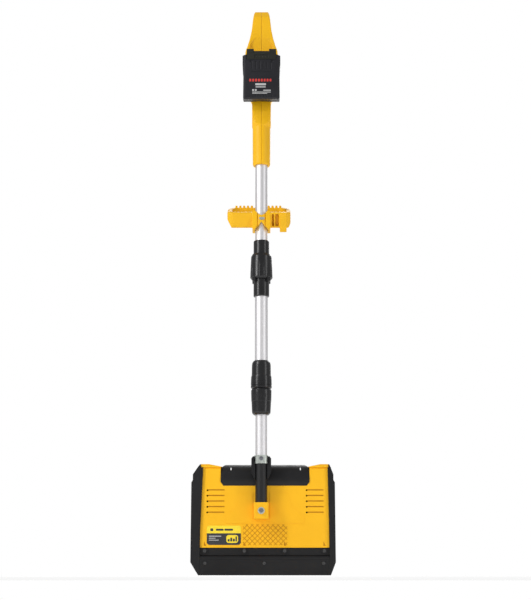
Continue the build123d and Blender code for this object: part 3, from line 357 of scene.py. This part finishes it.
NODE_FINISH = {
    "yellow": ["rear_shell"],
    "handle_yellow": ["handle_left_shell", "handle_right_shell", "aux_loop", "aux_strap"],
    "black": [
        "left_side_cover", "right_side_cover", "left_side_plate", "right_side_plate", "chamber_wall",
        "motor_cover", "scraper_bar", "motor_mount", "pole_bracket", "rotor_core", "contact_plug",
        "contact_socket", "trigger", "trigger_switch", "lock_button", "battery_rail"],
    "gloss_black": [
        "lock_body", "lock_nut", "coupler_spigot", "coupler_socket", "coupler_nut", "controller_box"],
    "battery": ["battery_case", "battery_cover"],
    "latch": ["battery_latch"],
    "aluminium": ["lower_tube", "middle_tube", "upper_tube"],
    "powder": ["pole_stub"],
    "zinc": ["band_clip", "foot_washer", "aux_screw", "handle_screws", "motor_can"],
    "bolt": ["clip_screw", "foot_bolt"],
    "oxide": ["rear_screws", "cover_screws"],
    "steel": [
        "rotor_bearings", "drive_bearing", "rotor_shaft", "motor_shaft", "trigger_pin", "trigger_spring",
        "latch_springs"],
    "rubber": ["rotor_paddles", "drive_belt", "aux_bush"],
    "jacket": ["coiled_lead", "upper_lead"],
    "copper": ["rail_blades"],
    "wrap": ["battery_cells"],
    "nylon": ["rotor_pulley", "motor_pulley", "lock_collet"],
}


def dress_nodes():
    """Gives each CAD node its material."""
    for finish, names in NODE_FINISH.items():
        for name in names:
            data = nodes[name].data
            data.materials.clear()
            data.materials.append(finishes[finish])


# ---------------------------------------------------------------- mesh helpers
def add_piece(name, mesh, body, finish, slot, *replaced):
    """Makes one named piece that rides on a body and may stand for CAD nodes."""
    obj = bpy.data.objects.new(name, mesh)
    bpy.context.scene.collection.objects.link(obj)
    mesh.materials.clear()
    mesh.materials.append(finishes[finish])
    if replaced:
        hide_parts(*replaced)
    if body:
        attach(obj, body)
    return obj


def mesh_from(bm, name, sharp_angle=35.0):
    """Closes a bmesh into a smooth-shaded mesh that keeps its sharp edges."""
    bmesh.ops.recalc_face_normals(bm, faces=bm.faces)
    mesh = bpy.data.meshes.new(name)
    bm.to_mesh(mesh)
    bm.free()
    mesh.shade_smooth()
    mesh.set_sharp_from_angle(angle=math.radians(sharp_angle))
    return mesh


def applied(mesh, name, add_modifiers):
    """The mesh after the modifiers that add_modifiers puts on a passing object."""
    helper = bpy.data.objects.new(name, mesh)
    bpy.context.scene.collection.objects.link(helper)
    add_modifiers(helper)
    graph = bpy.context.evaluated_depsgraph_get()
    result = bpy.data.meshes.new_from_object(helper.evaluated_get(graph))
    bpy.data.objects.remove(helper)
    return result


SEAM = 0.6 * MM                          # beside a joint plane the mouldings stay sharp
SOFT_SHARP_ANGLE = 50


def soft_copy(node, voxel, passes, share, seam_x=None):
    """A CAD node's mesh with rounded edges: remeshed, smoothed away from its seam and thinned."""
    def remesh(helper):
        step = helper.modifiers.new("remesh", "REMESH")
        step.mode, step.voxel_size = "VOXEL", voxel

    def smooth_and_thin(helper):
        step = helper.modifiers.new("smooth", "SMOOTH")
        step.factor, step.iterations = 0.5, passes
        if seam_x is not None:
            free = helper.vertex_groups.new(name="free")
            for vertex in helper.data.vertices:
                away = (abs(vertex.co.x - seam_x) - SEAM) / SEAM
                free.add([vertex.index], min(1.0, max(0.0, away)), "REPLACE")
            step.vertex_group = "free"
        thin = helper.modifiers.new("thin", "DECIMATE")
        thin.ratio = share

    mesh = applied(nodes[node].data.copy(), node + "_source", remesh)
    mesh = applied(mesh, node + "_source", smooth_and_thin)
    mesh.shade_smooth()
    mesh.set_sharp_from_angle(angle=math.radians(SOFT_SHARP_ANGLE))
    return mesh


def tube_mesh(name, points, radius, sides=4):
    """A round wire along a list of points."""
    data = bpy.data.curves.new(name, "CURVE")
    data.dimensions = "3D"
    data.bevel_depth, data.bevel_resolution, data.use_fill_caps = radius, sides, True
    spline = data.splines.new("POLY")
    spline.points.add(len(points) - 1)
    for knot, point in zip(spline.points, points):
        knot.co = (*point, 1)
    helper = bpy.data.objects.new(name, data)
    mesh = bpy.data.meshes.new_from_object(helper)
    bpy.data.objects.remove(helper)
    mesh.shade_smooth()
    return mesh


def helix(start, axis, length, radius, turns, per_turn=16):
    """Points of a coil from start along axis."""
    axis = Vector(axis).normalized()
    across = axis.orthogonal().normalized()
    other = axis.cross(across)
    points = []
    for i in range(turns * per_turn + 1):
        angle = 2 * math.pi * i / per_turn
        along = axis * (length * i / (turns * per_turn))
        points.append(Vector(start) + along + radius * (math.cos(angle) * across + math.sin(angle) * other))
    return points


def lathe_x(bm, profile, centre, steps=64):
    """Adds a ring: a closed profile of (x, radius) turned round an axis along X through centre."""
    rings = []
    for i in range(steps):
        angle = 2 * math.pi * i / steps
        rings.append([
            bm.verts.new((centre[0] + x, centre[1] + r * math.cos(angle), centre[2] + r * math.sin(angle)))
            for x, r in profile])
    for i in range(steps):
        here, after = rings[i], rings[(i + 1) % steps]
        for k in range(len(profile)):
            nxt = (k + 1) % len(profile)
            bm.faces.new((here[k], here[nxt], after[nxt], after[k]))


def corner_arc(centre, radius, start):
    """Seven points of a quarter circle from the angle start."""
    angles = [math.radians(start + 15 * step) for step in range(7)]
    return [(centre[0] + radius * math.cos(a), centre[1] + radius * math.sin(a)) for a in angles]


def rounded_outline(x0, x1, z0, z1, radius, cut_low=0.0):
    """Corners of a plate in the rear view: rounded at the top, cut or rounded below."""
    left, right, low, high = x0 + radius, x1 - radius, z0 + radius, z1 - radius
    points = corner_arc((right, high), radius, 0) + corner_arc((left, high), radius, 90)
    if cut_low:
        return points + [(x0, z0 + cut_low), (x0 + cut_low, z0), (x1 - cut_low, z0), (x1, z0 + cut_low)]
    return points + corner_arc((left, low), radius, 180) + corner_arc((right, low), radius, 270)


PLATE_TAPER = 0.995
PRINT_THICKNESS = 0.12 * MM
LABEL_THICKNESS = 0.3 * MM


def add_plate(bm, outline, face_y, thickness):
    """Adds a thin plate that stands from face_y towards -Y, with a slightly smaller rear face."""
    cx = sum(x for x, _ in outline) / len(outline)
    cz = sum(z for _, z in outline) / len(outline)
    front = [bm.verts.new((x, face_y, z)) for x, z in outline]
    rear = [
        bm.verts.new((cx + (x - cx) * PLATE_TAPER, face_y - thickness, cz + (z - cz) * PLATE_TAPER))
        for x, z in outline]
    bm.faces.new(front)
    bm.faces.new(reversed(rear))
    for k in range(len(outline)):
        nxt = (k + 1) % len(outline)
        bm.faces.new((front[k], front[nxt], rear[nxt], rear[k]))


def add_bars(name, bars, face_y, centre_x, body, finish, slot):
    """Printed marks: plain rounded bars of (x0, x1, z0, z1) in millimetres from centre_x and the ground."""
    bm = bmesh.new()
    for x0, x1, z0, z1 in bars:
        radius = min(x1 - x0, z1 - z0) * 0.3 * MM
        sides = centre_x + x0 * MM, centre_x + x1 * MM
        outline = rounded_outline(*sides, GROUND + z0 * MM, GROUND + z1 * MM, radius)
        add_plate(bm, outline, face_y, PRINT_THICKNESS)
    return add_piece(name, mesh_from(bm, name), body, finish, slot)


# ---------------------------------------------------------------- moulded skins
def make_skins():
    """Handle, second handle and battery mouldings with rounded edges."""
    seam = pole.x
    for node, body, finish, slot, voxel, passes, share, seam_x in (
        ("handle_left_shell", "upper_pole", "handle_yellow", "yellow_shell", 1.1, 9, 0.3, seam),
        ("handle_right_shell", "upper_pole", "handle_yellow", "yellow_shell", 1.1, 9, 0.3, seam),
        ("aux_loop", "aux_grip", "handle_yellow", "yellow_shell", 0.8, 5, 0.3, None),
        ("aux_strap", "aux_grip", "handle_yellow", "yellow_shell", 0.4, 4, 0.4, None),
        ("battery_cover", "battery", "battery", "battery_plastic", 0.5, 3, 0.3, None),
        ("battery_case", "battery", "battery", "battery_plastic", 0.7, 3, 0.3, None),
        ("battery_latch", "latch", "latch", "battery_plastic", 0.4, 4, 0.35, None),
    ):
        mesh = soft_copy(node, voxel * MM, passes, share, seam_x)
        add_piece(node + "_skin", mesh, body, finish, slot, node)


# ---------------------------------------------------------------- printed marks
LABEL = (-119.5, -47.0, 62.8, 103.0)     # millimetres: x from the middle, z from the ground
LABEL_SPLIT = 87.0                       # where its two tones meet


def make_marks():
    """A plain two-tone label on the head and plain bars on the battery, with no lettering."""
    face = pole.y + SHELL_FACE
    x0, x1, z0, z1 = (value * MM for value in LABEL)
    for name, low, high, cut, finish in (
        ("head_label_upper", LABEL_SPLIT * MM, z1, 0.0, "label_lemon"),
        ("head_label_lower", z0, LABEL_SPLIT * MM, 4.0 * MM, "label_dark"),
    ):
        bm = bmesh.new()
        radius = 4.5 * MM if not cut else 0.2 * MM
        outline = rounded_outline(x0, x1, GROUND + low, GROUND + high, radius, cut or 0.01 * MM)
        add_plate(bm, outline, face, LABEL_THICKNESS)
        add_piece(name, mesh_from(bm, name), "head", finish, "yellow_shell")
    top = face - LABEL_THICKNESS
    bars = [(-112, -106, 91.5, 97.5), (-100, -84, 92.5, 96.5), (-82, -64, 92.5, 96.5)]
    add_bars("head_label_bars", bars, top, 0, "head", "label_dark", "black_plastic")
    lines = [(-115, -89, 80, 82), (-115, -101, 76, 77.6), (-115, -94, 72, 73.6)]
    add_bars("head_label_lines", lines, top, 0, "head", "print_white", "zinc")
    add_bars("head_label_square", [(-78, -53, 67, 83.5)], top, 0, "head", "label_lemon", "yellow_shell")
    chart = [(-75, -71, 70, 75), (-69.5, -65.5, 70, 78), (-64, -60, 70, 76), (-58.5, -55.5, 70, 80.5)]
    add_bars("head_label_chart", chart, top - PRINT_THICKNESS, 0, "head", "label_dark", "black_plastic")
    battery_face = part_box("battery_cover")[0].y
    red = [(-27 + 6.4 * i, -22.6 + 6.4 * i, 1069, 1075.5) for i in range(8)]
    add_bars("battery_bars_red", red, battery_face, pole.x, "battery", "print_red", "battery_plastic")
    white = [
        (-13.5, 10.2, 1060, 1064.8), (-12.8, 9.6, 1055, 1057.4), (-20.5, -16.2, 1046.6, 1050.9),
        (-14.6, -10.3, 1046.6, 1050.9), (4, 20.7, 1047.2, 1049.4), (-20.5, 20.7, 1043.2, 1044.8),
        (-20.5, 13, 1040.3, 1041.6)]
    add_bars("battery_bars_white", white, battery_face, pole.x, "battery", "print_white", "zinc")


# ---------------------------------------------------------------- wires and springs
LEAD_RADIUS = 2.6 * MM
LEAD_BEND, LEAD_BEND_STEPS = 9 * MM, 8
LEAD_LEVEL = 12 * MM                     # straight run between the pole's axis and the coil
COIL_RADIUS = 5.8 * MM
COIL_TURNS, COIL_STEPS = 44, 14
COIL_TOP, COIL_LOW = 600 * MM, 284 * MM  # heights above the ground
SPRING_WIRE = 0.35 * MM                  # radius


def make_coiled_lead():
    """The lead inside the pole: a tail out of the controller, a close coil and a straight top end."""
    low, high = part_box("coiled_lead")
    base, top = GROUND + COIL_LOW, GROUND + COIL_TOP
    tail_z = low.z + LEAD_RADIUS
    points = [Vector((pole.x, high.y, tail_z))]
    for step in range(LEAD_BEND_STEPS + 1):
        angle = math.radians(90 * step / LEAD_BEND_STEPS)
        y = pole.y + LEAD_BEND * (1 - math.sin(angle))
        points.append(Vector((pole.x, y, tail_z + LEAD_BEND * (1 - math.cos(angle)))))
    points.append(Vector((pole.x, pole.y, base - LEAD_LEVEL)))
    points += helix((pole.x, pole.y, base), (0, 0, 1), top - base, COIL_RADIUS, COIL_TURNS, COIL_STEPS)
    points.append(Vector((pole.x, pole.y, top + LEAD_LEVEL)))
    points.append(Vector((pole.x, pole.y, high.z)))
    mesh = tube_mesh("coiled_lead_wire", points, LEAD_RADIUS, 3)
    lead = add_piece("coiled_lead_wire", mesh, None, "jacket", "lead_jacket", "coiled_lead")
    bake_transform(lead)


def spring_points(x, z, low_y, high_y, radius, turns):
    """A coil along Y that just fills a round space."""
    length = high_y - low_y - 2 * SPRING_WIRE
    return helix((x, low_y + SPRING_WIRE, z), (0, 1, 0), length, radius - SPRING_WIRE, turns)


def make_springs():
    """Wound springs behind the trigger and under the battery's latch."""
    low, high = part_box("trigger_spring")
    centre = (low + high) / 2
    coil = spring_points(centre.x, centre.z, low.y, high.y, (high.z - low.z) / 2, 8)
    mesh = tube_mesh("trigger_spring_coil", coil, SPRING_WIRE)
    add_piece("trigger_spring_coil", mesh, "upper_pole", "spring", "shaft_steel", "trigger_spring")
    low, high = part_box("latch_springs")
    radius = (high.z - low.z) / 2
    bm = bmesh.new()
    for x in (low.x + radius, high.x - radius):
        coil = spring_points(x, (low.z + high.z) / 2, low.y, high.y, radius, 4)
        bm.from_mesh(tube_mesh("latch_spring_coil", coil, SPRING_WIRE))
    mesh = mesh_from(bm, "latch_spring_coils")
    add_piece("latch_spring_coils", mesh, "battery", "spring", "shaft_steel", "latch_springs")


# ---------------------------------------------------------------- bearings and rotor fittings
BEARING_EDGE = 0.35 * MM
BEARING_WIDTH = 6.8 * MM
BEARING_PLAY = 0.05 * MM
RACE_SHARE = 0.26                        # of the ring between the bore and the outside
SEAL_INSET, SEAL_DISH = 0.5 * MM, 0.3 * MM
DRIVE_BORE = 4.05 * MM


def add_bearing(rings, seals, low, high, bore):
    """One sealed ball bearing between two corners, with its axis along X."""
    centre = ((low.x + high.x) / 2, (low.y + high.y) / 2, (low.z + high.z) / 2)
    half, outer = (high.x - low.x) / 2, (high.z - low.z) / 2
    wall = (outer - bore) * RACE_SHARE
    edge = BEARING_EDGE
    lathe_x(rings, [
        (-half, outer - edge), (-half + edge, outer), (half - edge, outer), (half, outer - edge),
        (half, outer - wall), (-half, outer - wall)], centre)
    lathe_x(rings, [
        (-half, bore + wall), (half, bore + wall), (half, bore + edge), (half - edge, bore),
        (-half + edge, bore), (-half, bore + edge)], centre)
    dish, between = half - SEAL_INSET, (outer + bore) / 2
    above, below = outer - wall - BEARING_PLAY, bore + wall + BEARING_PLAY
    lathe_x(seals, [
        (-dish, above), (dish, above), (dish - SEAL_DISH, between), (dish, below), (-dish, below),
        (-dish + SEAL_DISH, between)], centre)


def add_bearing_pieces(name, places, bore, node):
    """Rings and seals of the bearings between the given corners, on the head."""
    rings, seals = bmesh.new(), bmesh.new()
    for low, high in places:
        add_bearing(rings, seals, low, high, bore)
    add_piece(name + "_rings", mesh_from(rings, name + "_rings"), "head", "steel", "shaft_steel", node)
    add_piece(name + "_seals", mesh_from(seals, name + "_seals"), "head", "seal", "rubber")


def make_bearings():
    """The rotor's two bearings and the one on the motor shaft."""
    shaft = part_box("rotor_shaft")
    low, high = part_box("rotor_bearings")
    left = low, Vector((low.x + BEARING_WIDTH, high.y, high.z))
    right = Vector((high.x - BEARING_WIDTH, low.y, low.z)), high
    bore = (shaft[1].z - shaft[0].z) / 2 + BEARING_PLAY
    add_bearing_pieces("rotor_bearing", (left, right), bore, "rotor_bearings")
    add_bearing_pieces("drive_bearing", (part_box("drive_bearing"),), DRIVE_BORE, "drive_bearing")


PADDLES, RIVETS_EACH = 4, 6
PADDLE_START = 20.0                      # degrees, the first paddle from +Y
RIVET_REACH, RIVET_SEAT = 32 * MM, 5.0 * MM
RIVET_RADIUS, RIVET_DOME, RIVET_SINK = 4.2 * MM, 1.7 * MM, 0.02 * MM
RIVET_SIDES, RIVET_RINGS = 20, 5


def add_rivet(bm, place):
    """Adds one domed head that stands along the local Z of place."""
    rings = []
    for ring in range(RIVET_RINGS):
        angle = math.radians(90 * ring / RIVET_RINGS)
        r, h = RIVET_RADIUS * math.cos(angle), RIVET_DOME * math.sin(angle)
        rings.append([
            bm.verts.new(place @ Vector((r * math.cos(a), r * math.sin(a), h)))
            for a in (2 * math.pi * m / RIVET_SIDES for m in range(RIVET_SIDES))])
    tip = bm.verts.new(place @ Vector((0, 0, RIVET_DOME)))
    bm.faces.new(reversed(rings[0]))
    for m in range(RIVET_SIDES):
        nxt = (m + 1) % RIVET_SIDES
        for here, above in zip(rings, rings[1:]):
            bm.faces.new((here[m], here[nxt], above[nxt], above[m]))
        bm.faces.new((rings[-1][m], rings[-1][nxt], tip))


def make_rivets():
    """Domed rivets that hold each paddle to its rib."""
    low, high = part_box("rotor_core")
    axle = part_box("rotor_shaft")
    centre_y, centre_z = (axle[0].y + axle[1].y) / 2, (axle[0].z + axle[1].z) / 2
    bm = bmesh.new()
    span = high.x - low.x
    out = Matrix.Translation((0, RIVET_REACH, RIVET_SEAT - RIVET_SINK))
    for i in range(PADDLES):
        turn = Matrix.Rotation(math.radians(360 / PADDLES * i + PADDLE_START), 4, "X")
        for k in range(RIVETS_EACH):
            x = low.x + span * (k + 0.5) / RIVETS_EACH
            add_rivet(bm, Matrix.Translation((x, centre_y, centre_z)) @ turn @ out)
    add_piece("paddle_rivets", mesh_from(bm, "paddle_rivets", 60.0), "rotor", "zinc", "zinc")


# ---------------------------------------------------------------- the whole scene
make_camera()
make_floor()
make_light()
finishes = {name: finish.material for name, finish in make_finishes().items()}
dress_nodes()
make_skins()
make_marks()
make_coiled_lead()
make_springs()
make_bearings()
make_rivets()
